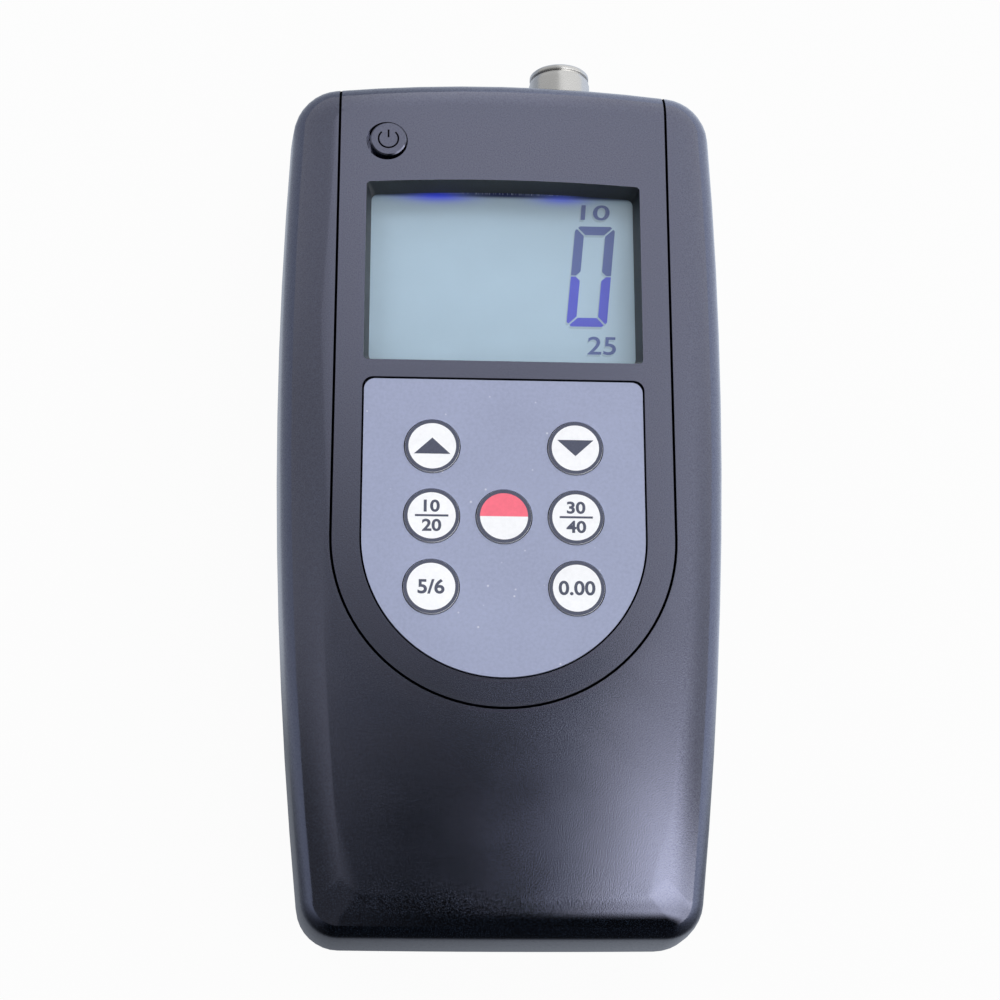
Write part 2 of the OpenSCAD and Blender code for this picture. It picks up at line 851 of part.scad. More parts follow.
// Cross-head screw, head down, shank along +Z; z = 0 is the underside of the head
module cross_screw(d, head_d, head_t, length) {
    slot = d * 0.28;
    difference() {
        union() {
            translate([0, 0, -head_t])
                cylinder(d = head_d, h = head_t);
            cylinder(d = d, h = length);
        }
        for (a = [0, 90])
            rotate([0, 0, a])
                translate([-head_d * 0.32, -slot / 2, -head_t - cut])
                    cube([head_d * 0.64, slot, cut + head_t * 0.55]);
    }
}

// Screws that join the shells, sunk in the back
module case_screws() {
    color([0.45, 0.45, 0.47])
    case_screw_spots()
        translate([0, 0, case_seat_z])
            cross_screw(case_screw_d, case_head_d, case_head_t, case_screw_len);
}

// Screws that hold the board on the panel's posts
module board_screws() {
    color([0.7, 0.7, 0.7])
    for (p = board_places)
        translate([p[0], p[1], board_z])
            cross_screw(board_screw_d, board_head_d, board_head_t, panel_z + 1 - board_z);
}

front_shell();
rear_shell();
front_panel();
keypad_overlay();
key_up();
key_down();
key_units();
key_calibrate();
key_metal();
key_mode();
key_zero();
power_button();
display_window();
display_glass();
display_bezel();
backlight();
contact_strips();
main_board();
key_domes();
power_switch();
socket_shell();
socket_insert();
socket_contacts();
socket_nut();
battery_door();
cell_1();
cell_2();
cell_3();
cell_4();
spring_contacts();
plate_contacts();
case_screws();
board_screws();
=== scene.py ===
"""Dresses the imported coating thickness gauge: moulded housing, printed keypad, lit display and studio stage."""

import math

import bmesh
import bpy
from mathutils import Matrix, Vector


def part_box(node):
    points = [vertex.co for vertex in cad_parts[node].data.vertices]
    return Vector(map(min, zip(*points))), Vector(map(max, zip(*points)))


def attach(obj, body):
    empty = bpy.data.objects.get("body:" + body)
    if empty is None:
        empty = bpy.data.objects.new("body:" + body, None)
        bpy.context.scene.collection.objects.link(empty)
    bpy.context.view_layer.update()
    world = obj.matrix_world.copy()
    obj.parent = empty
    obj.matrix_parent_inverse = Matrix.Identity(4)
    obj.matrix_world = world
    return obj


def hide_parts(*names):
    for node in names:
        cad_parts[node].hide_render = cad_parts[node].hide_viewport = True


bl_info = {
    "name": "Coating Gauge Dresser",
    "version": (1, 0, 0),
    "blender": (4, 5, 0),
    "location": "View3D > Sidebar > Gauge",
    "description": "Finishes the packed coating thickness gauge and sets its studio",
    "category": "Object",
}

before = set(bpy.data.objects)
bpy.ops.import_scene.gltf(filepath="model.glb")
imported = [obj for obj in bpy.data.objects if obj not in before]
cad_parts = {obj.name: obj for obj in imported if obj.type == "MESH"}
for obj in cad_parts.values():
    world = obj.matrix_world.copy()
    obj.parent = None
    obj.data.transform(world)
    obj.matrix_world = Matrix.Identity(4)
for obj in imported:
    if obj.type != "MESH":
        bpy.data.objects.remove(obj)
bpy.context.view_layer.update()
MM = 0.001
NEAR = 0.02 * MM
PRINT = 0.015 * MM
THIN = 0.012 * MM
FIXED = "gauge"
FRONT_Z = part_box("front_panel")[1][2]
SPLIT_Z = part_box("front_shell")[0][2]
GLASS_LOW, GLASS_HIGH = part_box("display_glass")
PANE_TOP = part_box("display_window")[1][2]
PANEL_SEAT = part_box("display_window")[0][2]
PANEL_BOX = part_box("front_panel")
FILM_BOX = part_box("keypad_overlay")
MID_X, MID_Y = (GLASS_LOW[0] + GLASS_HIGH[0]) / 2.0, (GLASS_LOW[1] + GLASS_HIGH[1]) / 2.0
ROUND_KEYS = ("key_up", "key_down", "key_units", "key_calibrate", "key_metal", "key_mode", "key_zero")


class GaugeFinish(bpy.types.PropertyGroup):
    """Colours and textures of the moulded and printed surfaces."""

    housing: bpy.props.FloatVectorProperty(
        name="Housing", description="Moulded housing and panel", subtype="COLOR", size=4,
        default=(0.0012, 0.0021, 0.0038, 1.0), min=0.0, max=1.0)
    sheen: bpy.props.FloatVectorProperty(
        name="Sheen", description="Tint of the light that the housing throws back", subtype="COLOR", size=4,
        default=(0.61, 0.635, 0.91, 1.0), min=0.0, max=1.0)
    housing_gloss: bpy.props.FloatProperty(
        name="Housing roughness", description="How dull the moulded surface is", subtype="FACTOR",
        default=0.105, min=0.0, max=1.0)
    grain: bpy.props.FloatProperty(
        name="Grain", description="Width of one speck of the moulded grain", unit="LENGTH",
        default=0.0002, min=0.00005, max=0.005, precision=5)
    edge_round: bpy.props.FloatProperty(
        name="Edge round", description="Radius on the edges of the two shells and the door", unit="LENGTH",
        default=0.0002, min=0.00005, max=0.0006, precision=5)
    film: bpy.props.FloatVectorProperty(
        name="Keypad film", description="Printed film under the keys", subtype="COLOR", size=4,
        default=(0.33, 0.362, 0.515, 1.0), min=0.0, max=1.0)
    key_white: bpy.props.FloatVectorProperty(
        name="Key white", description="Key caps", subtype="COLOR", size=4,
        default=(0.92, 0.925, 0.955, 1.0), min=0.0, max=1.0)
    key_red: bpy.props.FloatVectorProperty(
        name="Key red", description="Upper half of the calibrate key", subtype="COLOR", size=4,
        default=(0.93, 0.165, 0.235, 1.0), min=0.0, max=1.0)
    ink: bpy.props.FloatVectorProperty(
        name="Ink", description="Rings and signs printed on the keys", subtype="COLOR", size=4,
        default=(0.072, 0.08, 0.125, 1.0), min=0.0, max=1.0)
    ring_outer: bpy.props.FloatProperty(
        name="Ring radius", description="Outer radius of the printed key ring", unit="LENGTH",
        default=0.00412, min=0.002, max=0.006, precision=5)
    ring_width: bpy.props.FloatProperty(
        name="Ring width", description="Width of the printed key ring", unit="LENGTH",
        default=0.00052, min=0.0001, max=0.001, precision=5)
    socket: bpy.props.FloatVectorProperty(
        name="Socket metal", description="Plated shell of the probe socket", subtype="COLOR", size=4,
        default=(0.72, 0.71, 0.69, 1.0), min=0.0, max=1.0)


class GaugeDisplay(bpy.types.PropertyGroup):
    """Colours and sizes of the lit display."""

    field: bpy.props.FloatVectorProperty(
        name="Field", description="Lit ground of the display", subtype="COLOR", size=4,
        default=(0.28, 0.37, 0.435, 1.0), min=0.0, max=1.0)
    glow: bpy.props.FloatVectorProperty(
        name="Lamp glow", description="Blue light of the two edge lamps", subtype="COLOR", size=4,
        default=(0.035, 0.06, 0.8, 1.0), min=0.0, max=1.0)
    # Painted shade: the dark strip along the display's upper edge stands for the shade under the sunk frame's
    # upper wall.
    painted_top_shade: bpy.props.FloatVectorProperty(
        name="Painted top shade", description="Dark strip along the upper edge", subtype="COLOR", size=4,
        default=(0.006, 0.01, 0.055, 1.0), min=0.0, max=1.0)
    mark: bpy.props.FloatVectorProperty(
        name="Segments", description="Driven segments", subtype="COLOR", size=4,
        default=(0.06, 0.085, 0.215, 1.0), min=0.0, max=1.0)
    mark_lit: bpy.props.FloatVectorProperty(
        name="Segments, lower", description="Driven segments where the light comes through", subtype="COLOR",
        size=4, default=(0.06, 0.07, 0.39, 1.0), min=0.0, max=1.0)
    digit_height: bpy.props.FloatProperty(
        name="Digit height", description="Height of the large digit", unit="LENGTH",
        default=0.01705, min=0.005, max=0.025, precision=5)
    digit_width: bpy.props.FloatProperty(
        name="Digit width", description="Width of the large digit", unit="LENGTH",
        default=0.00635, min=0.003, max=0.015, precision=5)
    stroke: bpy.props.FloatProperty(
        name="Segment width", description="Width of one segment", unit="LENGTH",
        default=0.00158, min=0.0005, max=0.003, precision=5)
    slant: bpy.props.FloatProperty(
        name="Slant", description="Lean of the digit", subtype="ANGLE",
        default=math.radians(5.5), min=0.0, max=math.radians(20.0))


class GaugeStage(bpy.types.PropertyGroup):
    """Camera and light of the studio."""

    tilt: bpy.props.FloatProperty(
        name="Tilt", description="Camera lean from straight above", subtype="ANGLE",
        default=math.radians(16.97))
    azimuth: bpy.props.FloatProperty(
        name="Azimuth", description="Camera turn about the vertical", subtype="ANGLE",
        default=math.radians(-10.34))
    roll: bpy.props.FloatProperty(
        name="Roll", description="Camera turn about its own axis", subtype="ANGLE",
        default=math.radians(10.75))
    distance: bpy.props.FloatProperty(
        name="Distance", description="Camera to the middle of the front", unit="LENGTH",
        default=0.31203, min=0.1, max=2.0)
    aim: bpy.props.FloatVectorProperty(
        name="Aim", description="Point of the front that the camera looks at", subtype="XYZ", unit="LENGTH",
        default=(-0.000605, -0.00338, 0.032))
    lens: bpy.props.FloatProperty(
        name="Lens", description="Focal length on a 36 mm sensor", default=74.76, min=20.0, max=200.0)
    sky: bpy.props.FloatProperty(
        name="Sky", description="Strength of the dim light from all round", default=0.01, min=0.0, max=2.0)
    dome: bpy.props.FloatProperty(
        name="Dome", description="Strength of the pale light from the right and the back",
        default=0.86, min=0.0, max=4.0)
    left: bpy.props.FloatProperty(
        name="Left", description="Strength of the light from the left", default=0.38, min=0.0, max=4.0)
    patch: bpy.props.FloatProperty(
        name="Bright patch", description="Extra strength of the bright strip over the right side",
        default=2.0, min=0.0, max=8.0)
    fill_power: bpy.props.FloatProperty(
        name="Fill lamps", description="Power of each of the two lamps behind the socket end", unit="POWER",
        default=3.1, min=0.0, max=50.0)


# Meshes


def add_piece(name, bm, body, material, replaced=None):
    """Turns a built mesh into a piece that rides on a body."""
    mesh = bpy.data.meshes.new(name)
    bm.to_mesh(mesh)
    bm.free()
    return place_piece(name, mesh, body, material, replaced)


def place_piece(name, mesh, body, material, replaced=None):
    """Links a mesh as a piece, with its material and body."""
    if not mesh.polygons:
        raise RuntimeError("the piece " + name + " has no faces")
    mesh.materials.clear()
    mesh.materials.append(material)
    piece = bpy.data.objects.new(name, mesh)
    bpy.context.scene.collection.objects.link(piece)
    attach(piece, body)
    if replaced:
        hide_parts(replaced)
    return piece


def shade(bm, sharp_angle):
    """Smooth faces, with a hard edge wherever two faces meet at more than the angle."""
    for face in bm.faces:
        face.smooth = True
    for edge in bm.edges:
        edge.smooth = len(edge.link_faces) == 2 and edge.calc_face_angle(math.pi) < sharp_angle


def dressed(node, name, body, material, keep_edge=None, radius=0.0, sharp=38.0):
    """A smooth copy of a solid, with the chosen sharp edges rounded, that stands for it."""
    bm = bmesh.new()
    bm.from_mesh(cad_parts[node].data)
    bmesh.ops.remove_doubles(bm, verts=bm.verts, dist=0.002 * MM)
    bmesh.ops.dissolve_limit(
        bm, angle_limit=math.radians(0.05), use_dissolve_boundaries=False, verts=bm.verts, edges=bm.edges)
    if keep_edge and radius:
        chosen = [
            edge for edge in bm.edges
            if len(edge.link_faces) == 2 and edge.calc_face_angle(0.0) > math.radians(sharp) and edge.is_convex
            and keep_edge(edge)]
        if chosen:
            bmesh.ops.bevel(
                bm, geom=chosen, offset=radius, offset_type="OFFSET", segments=2, profile=0.5,
                affect="EDGES", clamp_overlap=True, loop_slide=False)
    bmesh.ops.triangulate(bm, faces=[face for face in bm.faces if len(face.verts) > 4])
    shade(bm, math.radians(sharp))
    mesh = bpy.data.meshes.new(name)
    bm.to_mesh(mesh)
    bm.free()
    for spare in ("custom_normal", "UVMap"):
        layer = mesh.attributes.get(spare)
        if layer:
            mesh.attributes.remove(layer)
    piece = place_piece(name, mesh, body, material, node)
    weighted = piece.modifiers.new("Flat faces stay flat", "WEIGHTED_NORMAL")
    weighted.keep_sharp = True
    weighted.weight = 60
    return piece


def second_material(piece, material, chosen):
    """Gives the faces that pass the test another material."""
    piece.data.materials.append(material)
    slot = len(piece.data.materials) - 1
    for face in piece.data.polygons:
        if chosen(face):
            face.material_index = slot


def lathe(profile, centre, steps=96):
    """A closed ring or disc about +Z from (radius, height) points, in metres."""
    bm = bmesh.new()
    rings = []
    for radius, height in profile:
        if radius < 1e-9:
            rings.append([bm.verts.new((centre[0], centre[1], height))])
            continue
        turn = [2.0 * math.pi * i / steps for i in range(steps)]
        rings.append([
            bm.verts.new((centre[0] + radius * math.cos(a), centre[1] + radius * math.sin(a), height))
            for a in turn])
    for low, high in zip(rings, rings[1:] + rings[:1]):
        for i in range(steps):
            j = (i + 1) % steps
            corners = [low[i % len(low)], low[j % len(low)], high[j % len(high)], high[i % len(high)]]
            unique = list(dict.fromkeys(corners))
            if len(unique) > 2:
                bm.faces.new(unique)
    bmesh.ops.recalc_face_normals(bm, faces=bm.faces)
    return bm


def plate(outlines, low, high):
    """Thin flat shapes with the given outlines, between two heights."""
    bm = bmesh.new()
    for outline in outlines:
        base = [bm.verts.new((x, y, low)) for x, y in outline]
        top = [bm.verts.new((x, y, high)) for x, y in outline]
        bm.faces.new(base[::-1])
        bm.faces.new(top)
        for i in range(len(outline)):
            j = (i + 1) % len(outline)
            bm.faces.new((base[i], base[j], top[j], top[i]))
    bmesh.ops.recalc_face_normals(bm, faces=bm.faces)
    return bm


def figures(text, height, centre, low, thickness, stretch=1.0, weight=0.0, lean=0.0, gap=1.0):
    """Plain printed figures as a flat mesh, centred on a point."""
    curve = bpy.data.curves.new("figures", "FONT")
    curve.body = text
    curve.size = height / 0.69
    curve.extrude = thickness / 2.0
    curve.offset = weight
    curve.shear = lean
    curve.space_character = gap
    curve.resolution_u = 6
    holder = bpy.data.objects.new("figures", curve)
    bpy.context.scene.collection.objects.link(holder)
    mesh = bpy.data.meshes.new_from_object(holder.evaluated_get(bpy.context.evaluated_depsgraph_get()))
    bpy.data.objects.remove(holder)
    bpy.data.curves.remove(curve)
    xs = [v.co.x for v in mesh.vertices]
    ys = [v.co.y for v in mesh.vertices]
    zs = [v.co.z for v in mesh.vertices]
    shift = Vector((-(min(xs) + max(xs)) / 2.0, -(min(ys) + max(ys)) / 2.0, -min(zs)))
    mesh.transform(Matrix.Translation((centre[0], centre[1], low)) @ Matrix.Diagonal((stretch, 1.0, 1.0, 1.0))
                   @ Matrix.Translation(shift))
    return mesh


# Shader groups and materials


def node(tree, kind, sockets=None, **options):
    """Adds a shader node with its options, and sets or links its inputs."""
    made = tree.nodes.new(kind)
    for key, value in options.items():
        setattr(made, key, value)
    for key, value in (sockets or {}).items():
        if isinstance(value, bpy.types.NodeSocket):
            tree.links.new(value, made.inputs[key])
        else:
            made.inputs[key].default_value = value
    return made


def math_node(tree, operation, first, second=0.0, clamp=False):
    """Output of one arithmetic step."""
    return node(tree, "ShaderNodeMath", {0: first, 1: second}, operation=operation, use_clamp=clamp).outputs[0]


def product(tree, *factors):
    """Output of several values multiplied together."""
    total = factors[0]
    for factor in factors[1:]:
        total = math_node(tree, "MULTIPLY", total, factor)
    return total


def mix_colours(tree, factor, first, second, blend="MIX"):
    """Output of a colour mix."""
    return node(
        tree, "ShaderNodeMix", {0: factor, 6: first, 7: second}, data_type="RGBA", blend_type=blend).outputs[2]


def spread(tree, value, low, high, to_low, to_high, smooth=False):
    """Output of a value stretched from one range to another and held inside it."""
    return node(
        tree, "ShaderNodeMapRange", {0: value, 1: low, 2: high, 3: to_low, 4: to_high}, clamp=True,
        interpolation_type="SMOOTHSTEP" if smooth else "LINEAR").outputs[0]


def new_group(name, inputs, outputs):
    """An empty shader group with named sockets, and its input node."""
    group = bpy.data.node_groups.new(name, "ShaderNodeTree")
    for label, kind, value in inputs:
        group.interface.new_socket(label, in_out="INPUT", socket_type=kind).default_value = value
    for label, kind in outputs:
        group.interface.new_socket(label, in_out="OUTPUT", socket_type=kind)
    return group, node(group, "NodeGroupInput")


def moulded_grain():
    """Fine grain of a moulded or printed surface: speckled colour, uneven gloss and a shallow bump."""
    found = bpy.data.node_groups.get("Moulded grain")
    if found:
        return found
    group, given = new_group(
        "Moulded grain",
        (("Colour", "NodeSocketColor", (0.5, 0.5, 0.5, 1.0)), ("Grain size", "NodeSocketFloat", 0.0003),
         ("Contrast", "NodeSocketFloat", 0.2), ("Depth", "NodeSocketFloat", 0.00001),
         ("Roughness", "NodeSocketFloat", 0.4), ("Gloss", "NodeSocketFloat", 0.0)),
        (("Colour", "NodeSocketColor"), ("Roughness", "NodeSocketFloat"), ("Gloss", "NodeSocketFloat"),
         ("Normal", "NodeSocketVector")))
    place = node(group, "ShaderNodeTexCoord").outputs["Object"]
    scale = math_node(group, "DIVIDE", 1.0, given.outputs["Grain size"])
    fine = node(group, "ShaderNodeTexNoise", {"Vector": place, "Scale": scale, "Detail": 2.0, "Roughness": 0.6})
    broad = node(group, "ShaderNodeTexNoise", {"Vector": place, "Scale": 60.0, "Detail": 3.0})
    speck = spread(group, fine.outputs["Fac"], 0.3, 0.7, -1.0, 1.0)
    patch = spread(group, broad.outputs["Fac"], 0.3, 0.7, -1.0, 1.0)
    lift = math_node(group, "MULTIPLY", speck, given.outputs["Contrast"])
    tone = math_node(group, "ADD", math_node(group, "ADD", 1.0, lift), math_node(group, "MULTIPLY", patch, 0.04))
    tone = math_node(group, "MAXIMUM", tone, 0.0)
    colour = node(group, "ShaderNodeVectorMath", {0: given.outputs["Colour"], "Scale": tone}, operation="SCALE")
    uneven = math_node(
        group, "ADD", math_node(group, "MULTIPLY", speck, 0.05), math_node(group, "MULTIPLY", patch, 0.025))
    rough = math_node(group, "ADD", given.outputs["Roughness"], uneven, clamp=True)
    gloss = math_node(group, "MULTIPLY", given.outputs["Gloss"], math_node(group, "ADD", 1.0, speck), clamp=True)
    bump = node(group, "ShaderNodeBump", {
        "Height": fine.outputs["Fac"], "Distance": given.outputs["Depth"], "Strength": 1.0})
    node(group, "NodeGroupOutput", {
        "Colour": colour.outputs["Vector"], "Roughness": rough, "Gloss": gloss,
        "Normal": bump.outputs["Normal"]})
    return group


def stray_specks():
    """Sparse pale specks of dust: the colour with the specks laid over it."""
    found = bpy.data.node_groups.get("Stray specks")
    if found:
        return found
    group, given = new_group(
        "Stray specks",
        (("Colour", "NodeSocketColor", (0.5, 0.5, 0.5, 1.0)), ("Speck", "NodeSocketColor", (0.8, 0.8, 0.85, 1.0)),
         ("Spacing", "NodeSocketFloat", 0.003), ("Amount", "NodeSocketFloat", 0.5)),
        (("Colour", "NodeSocketColor"),))
    place = node(group, "ShaderNodeTexCoord").outputs["Object"]
    scale = math_node(group, "DIVIDE", 1.0, given.outputs["Spacing"])
    cells = node(group, "ShaderNodeTexVoronoi", {"Vector": place, "Scale": scale}, feature="F1")
    dot = spread(group, cells.outputs["Distance"], 0.03, 0.07, 1.0, 0.0)
    colour = mix_colours(
        group, math_node(group, "MULTIPLY", dot, given.outputs["Amount"]), given.outputs["Colour"],
        given.outputs["Speck"])
    node(group, "NodeGroupOutput", {"Colour": colour})
    return group


def turned_metal():
    """Fine lathe lines across the Y axis with dull patches, for plated and turned metal."""
    found = bpy.data.node_groups.get("Turned metal")
    if found:
        return found
    group, given = new_group(
        "Turned metal",
        (("Colour", "NodeSocketColor", (0.7, 0.7, 0.7, 1.0)), ("Line pitch", "NodeSocketFloat", 0.00012),
         ("Contrast", "NodeSocketFloat", 0.1), ("Roughness", "NodeSocketFloat", 0.3)),
        (("Colour", "NodeSocketColor"), ("Roughness", "NodeSocketFloat"), ("Normal", "NodeSocketVector")))
    place = node(group, "ShaderNodeTexCoord").outputs["Object"]
    parts = node(group, "ShaderNodeSeparateXYZ", {0: place})
    along = math_node(group, "DIVIDE", parts.outputs["Y"], given.outputs["Line pitch"])
    lines = node(group, "ShaderNodeTexNoise", {"W": along, "Scale": 1.0, "Detail": 3.0}, noise_dimensions="1D")
    patch = node(group, "ShaderNodeTexNoise", {"Vector": place, "Scale": 320.0, "Detail": 2.0})
    ridge = spread(group, lines.outputs["Fac"], 0.25, 0.75, -1.0, 1.0)
    dull = spread(group, patch.outputs["Fac"], 0.3, 0.7, -1.0, 1.0)
    tone = math_node(group, "ADD", 1.0, math_node(group, "MULTIPLY", ridge, given.outputs["Contrast"]))
    colour = node(group, "ShaderNodeVectorMath", {0: given.outputs["Colour"], "Scale": tone}, operation="SCALE")
    uneven = math_node(
        group, "ADD", math_node(group, "MULTIPLY", ridge, 0.04), math_node(group, "MULTIPLY", dull, 0.05))
    rough = math_node(group, "ADD", given.outputs["Roughness"], uneven, clamp=True)
    bump = node(group, "ShaderNodeBump", {"Height": lines.outputs["Fac"], "Distance": 0.000004, "Strength": 1.0})
    node(group, "NodeGroupOutput", {
        "Colour": colour.outputs["Vector"], "Roughness": rough, "Normal": bump.outputs["Normal"]})
    return group


def new_material(name):
    """A material with one Principled shader: the material, its tree and the shader."""
    material = bpy.data.materials.new(name)
    material.use_nodes = True
    tree = material.node_tree
    tree.nodes.clear()
    shader = node(tree, "ShaderNodeBsdfPrincipled")
    node(tree, "ShaderNodeOutputMaterial", {"Surface": shader.outputs["BSDF"]})
    return material, tree, shader


def to_surface(tree, shader):
    """Puts another shader at the end of a material."""
    out = next(n for n in tree.nodes if n.bl_idname == "ShaderNodeOutputMaterial")
    tree.links.new(shader.outputs[0], out.inputs["Surface"])


def grained(name, colour, grain, contrast, depth, roughness, specks=0.0, gloss=0.0, **shader_values):
    """A moulded, printed or rubbery finish built on the grain group."""
    material, tree, shader = new_material(name)
    grain_node = node(tree, "ShaderNodeGroup", {}, node_tree=moulded_grain())
    for label, value in (
            ("Colour", colour), ("Grain size", grain), ("Contrast", contrast), ("Depth", depth),
            ("Roughness", roughness), ("Gloss", gloss)):
        grain_node.inputs[label].default_value = value
    colour_out = grain_node.outputs["Colour"]
    if specks:
        dust = node(tree, "ShaderNodeGroup", {}, node_tree=stray_specks())
        dust.inputs["Amount"].default_value = specks
        tree.links.new(colour_out, dust.inputs["Colour"])
        colour_out = dust.outputs["Colour"]
    tree.links.new(colour_out, shader.inputs["Base Color"])
    tree.links.new(grain_node.outputs["Roughness"], shader.inputs["Roughness"])
    tree.links.new(grain_node.outputs["Normal"], shader.inputs["Normal"])
    if gloss:
        tree.links.new(grain_node.outputs["Gloss"], shader.inputs["Coat Weight"])
    for label, value in shader_values.items():
        shader.inputs[label.replace("_", " ")].default_value = value
    return material


def turned(name, colour, pitch, contrast, roughness):
    """A bright metal finish built on the lathe line group."""
    material, tree, shader = new_material(name)
    lines = node(tree, "ShaderNodeGroup", {}, node_tree=turned_metal())
    for label, value in (
            ("Colour", colour), ("Line pitch", pitch), ("Contrast", contrast), ("Roughness", roughness)):
        lines.inputs[label].default_value = value
    tree.links.new(lines.outputs["Colour"], shader.inputs["Base Color"])
    tree.links.new(lines.outputs["Roughness"], shader.inputs["Roughness"])
    tree.links.new(lines.outputs["Normal"], shader.inputs["Normal"])
    shader.inputs["Metallic"].default_value = 1.0
    return material


def clear_pane():
    """Clear moulded pane: sharp reflections, and shadow rays pass through it."""
    material, tree, shader = new_material("Clear pane")
    shader.inputs["Base Color"].default_value = (0.97, 0.98, 1.0, 1.0)
    shader.inputs["Transmission Weight"].default_value = 1.0
    shader.inputs["IOR"].default_value = 1.33
    place = node(tree, "ShaderNodeTexCoord").outputs["Object"]
    smear = node(tree, "ShaderNodeTexNoise", {"Vector": place, "Scale": 90.0, "Detail": 4.0})
    tree.links.new(spread(tree, smear.outputs["Fac"], 0.4, 0.7, 0.005, 0.03), shader.inputs["Roughness"])
    rays = node(tree, "ShaderNodeLightPath")
    through = node(tree, "ShaderNodeBsdfTransparent", {"Color": (0.93, 0.94, 0.96, 1.0)})
    choice = node(tree, "ShaderNodeMixShader", {
        0: rays.outputs["Is Shadow Ray"], 1: shader.outputs["BSDF"], 2: through.outputs["BSDF"]})
    to_surface(tree, choice)
    return material


def lit_field(settings):
    """Lit ground of the display, with painted shade along the upper edge where the sunk frame's wall shades it,
    painted glints along that edge and the glow of two edge lamps.
    """
    material, tree, shader = new_material("Display field")
    place = node(tree, "ShaderNodeTexCoord").outputs["Object"]
    parts = node(tree, "ShaderNodeSeparateXYZ", {0: place})
    top = GLASS_HIGH[1] - 1.5 * MM
    glows = []
    for lamp_x, wide, strength in ((-10.4 * MM, 5.2 * MM, 0.95), (9.4 * MM, 4.2 * MM, 0.7)):
        across = math_node(tree, "DIVIDE", math_node(tree, "SUBTRACT", parts.outputs["X"], lamp_x), wide)
        along = math_node(tree, "DIVIDE", math_node(tree, "SUBTRACT", parts.outputs["Y"], top), 1.15 * MM)
        far = math_node(tree, "ADD", math_node(tree, "MULTIPLY", across, across),
                        math_node(tree, "MULTIPLY", along, along))
        halo = math_node(tree, "EXPONENT", math_node(tree, "MULTIPLY", far, -1.0))
        glows.append(math_node(tree, "MULTIPLY", halo, strength))
    glow = math_node(tree, "ADD", glows[0], glows[1], clamp=True)
    mottle = node(tree, "ShaderNodeTexNoise", {"Vector": place, "Scale": 70.0, "Detail": 2.0})
    # Painted shade: the field darkens towards the upper edge.
    shade_down = spread(tree, parts.outputs["Y"], top - 5.0 * MM, top, 1.0, 0.86, smooth=True)
    tone = math_node(tree, "MULTIPLY", shade_down, spread(tree, mottle.outputs["Fac"], 0.3, 0.7, 0.96, 1.04))
    ground = node(tree, "ShaderNodeVectorMath", {0: tuple(settings.field)[:3], "Scale": tone}, operation="SCALE")
    blue = mix_colours(tree, glow, ground.outputs["Vector"], tuple(settings.glow))
    # Painted shade: a dark strip along the upper edge, lighter where the edge lamps glow.
    strip = spread(tree, parts.outputs["Y"], top - 0.6 * MM, top + 0.1 * MM, 0.0, 1.0, smooth=True)
    unlit = math_node(tree, "SUBTRACT", 1.0, math_node(tree, "MULTIPLY", glow, 0.8))
    dark = math_node(tree, "MULTIPLY", strip, unlit)
    top_shaded = mix_colours(tree, dark, blue, tuple(settings.painted_top_shade))
    # Painted highlight: short pale dashes along the upper edge stand for glints on the pane's edge.
    glint_dashes = node(tree, "ShaderNodeTexNoise", {
        "W": math_node(tree, "DIVIDE", parts.outputs["X"], 0.55 * MM), "Detail": 2.0}, noise_dimensions="1D")
    painted_glint = math_node(
        tree, "MULTIPLY", spread(tree, glint_dashes.outputs["Fac"], 0.6, 0.66, 0.0, 1.0),
        spread(tree, parts.outputs["Y"], top + 0.24 * MM, top + 0.3 * MM, 0.0, 0.8))
    colour = mix_colours(tree, painted_glint, top_shaded, (0.6, 0.65, 0.8, 1.0))
    tree.links.new(colour, shader.inputs["Base Color"])
    tree.links.new(colour, shader.inputs["Emission Color"])
    tree.links.new(spread(tree, mottle.outputs["Fac"], 0.3, 0.7, 0.28, 0.38), shader.inputs["Roughness"])
    shader.inputs["Emission Strength"].default_value = 0.25
    return material


def banded_cell():
    """Sleeved battery cell: a plain sleeve with a pale band, bare metal at both ends."""
    material, tree, shader = new_material("Cell sleeve")
    place = node(tree, "ShaderNodeTexCoord").outputs["Object"]
    parts = node(tree, "ShaderNodeSeparateXYZ", {0: place})
    low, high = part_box("cell_1")
    length = high[1] - low[1]
    run = math_node(tree, "DIVIDE", math_node(tree, "SUBTRACT", parts.outputs["Y"], low[1]), length)
    ends = math_node(
        tree, "ADD", spread(tree, run, 0.02, 0.03, 1.0, 0.0), spread(tree, run, 0.965, 0.975, 0.0, 1.0),
        clamp=True)
    band = spread(tree, run, 0.27, 0.275, 1.0, 0.0)
    scuff = node(tree, "ShaderNodeTexNoise", {"Vector": place, "Scale": 400.0, "Detail": 4.0})
    sleeve = mix_colours(tree, band, (0.02, 0.045, 0.11, 1.0), (0.33, 0.34, 0.36, 1.0))
    colour = mix_colours(tree, ends, sleeve, (0.66, 0.65, 0.62, 1.0))
    tree.links.new(colour, shader.inputs["Base Color"])
    tree.links.new(ends, shader.inputs["Metallic"])
    tree.links.new(spread(tree, scuff.outputs["Fac"], 0.3, 0.7, 0.22, 0.38), shader.inputs["Roughness"])
    return material


